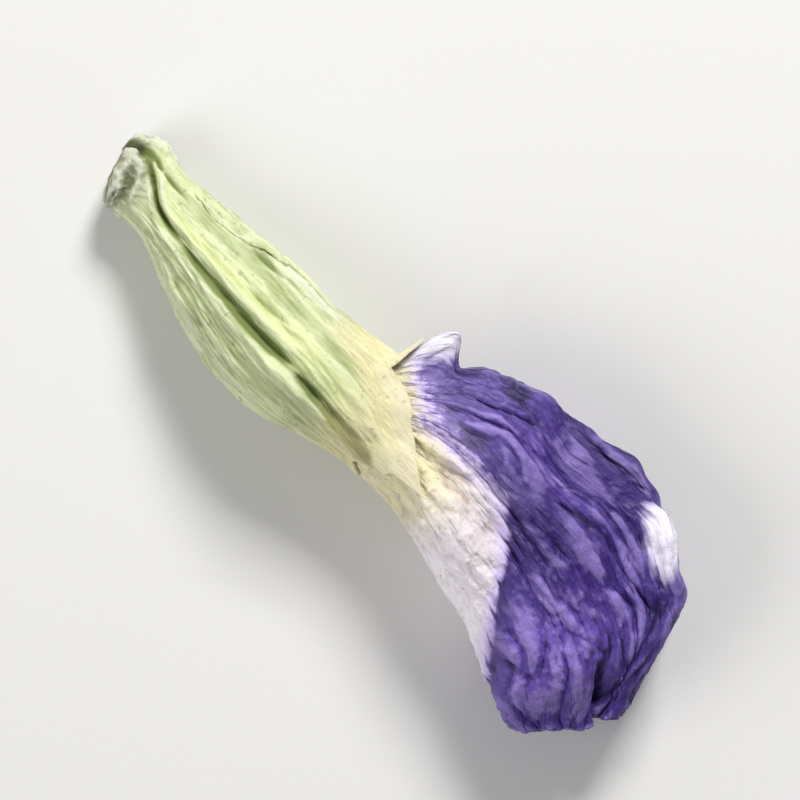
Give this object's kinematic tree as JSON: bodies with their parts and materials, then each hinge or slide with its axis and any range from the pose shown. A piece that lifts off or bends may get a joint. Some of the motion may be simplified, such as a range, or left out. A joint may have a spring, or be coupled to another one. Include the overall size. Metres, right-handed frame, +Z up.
{
  "type": "butterfly pea flower",
  "caption": "Dried butterfly pea flower lying on its side: ribbed green calyx with pointed lobes, violet banner petal folded over wings, keel and stamens.",
  "frame": {"origin": "middle of the flower's footprint, on the surface it lies on", "axes": "+X along the flower from its stalk to its petal tips, +Y from its folded back to its open belly, +Z up"},
  "size_m": [0.035, 0.0124, 0.007],
  "materials": {
    "calyx_green": "dried green calyx, papery, paler on its ribs and lobe tips",
    "standard_violet": "dried violet-blue petal with a cream to pinkish white band along its midrib",
    "wing_violet": "dried violet petal, paler towards its claw",
    "keel_cream": "dried cream petal",
    "stamen_cream": "dried cream filaments and anthers"
  },
  "bodies": {
    "root": {"calyx": "calyx_green", "standard_petal": "standard_violet", "wing_petal_upper": "wing_violet", "wing_petal_lower": "wing_violet", "keel_petals": "keel_cream", "stamen_column": "stamen_cream"}
  },
  "joints": []
}
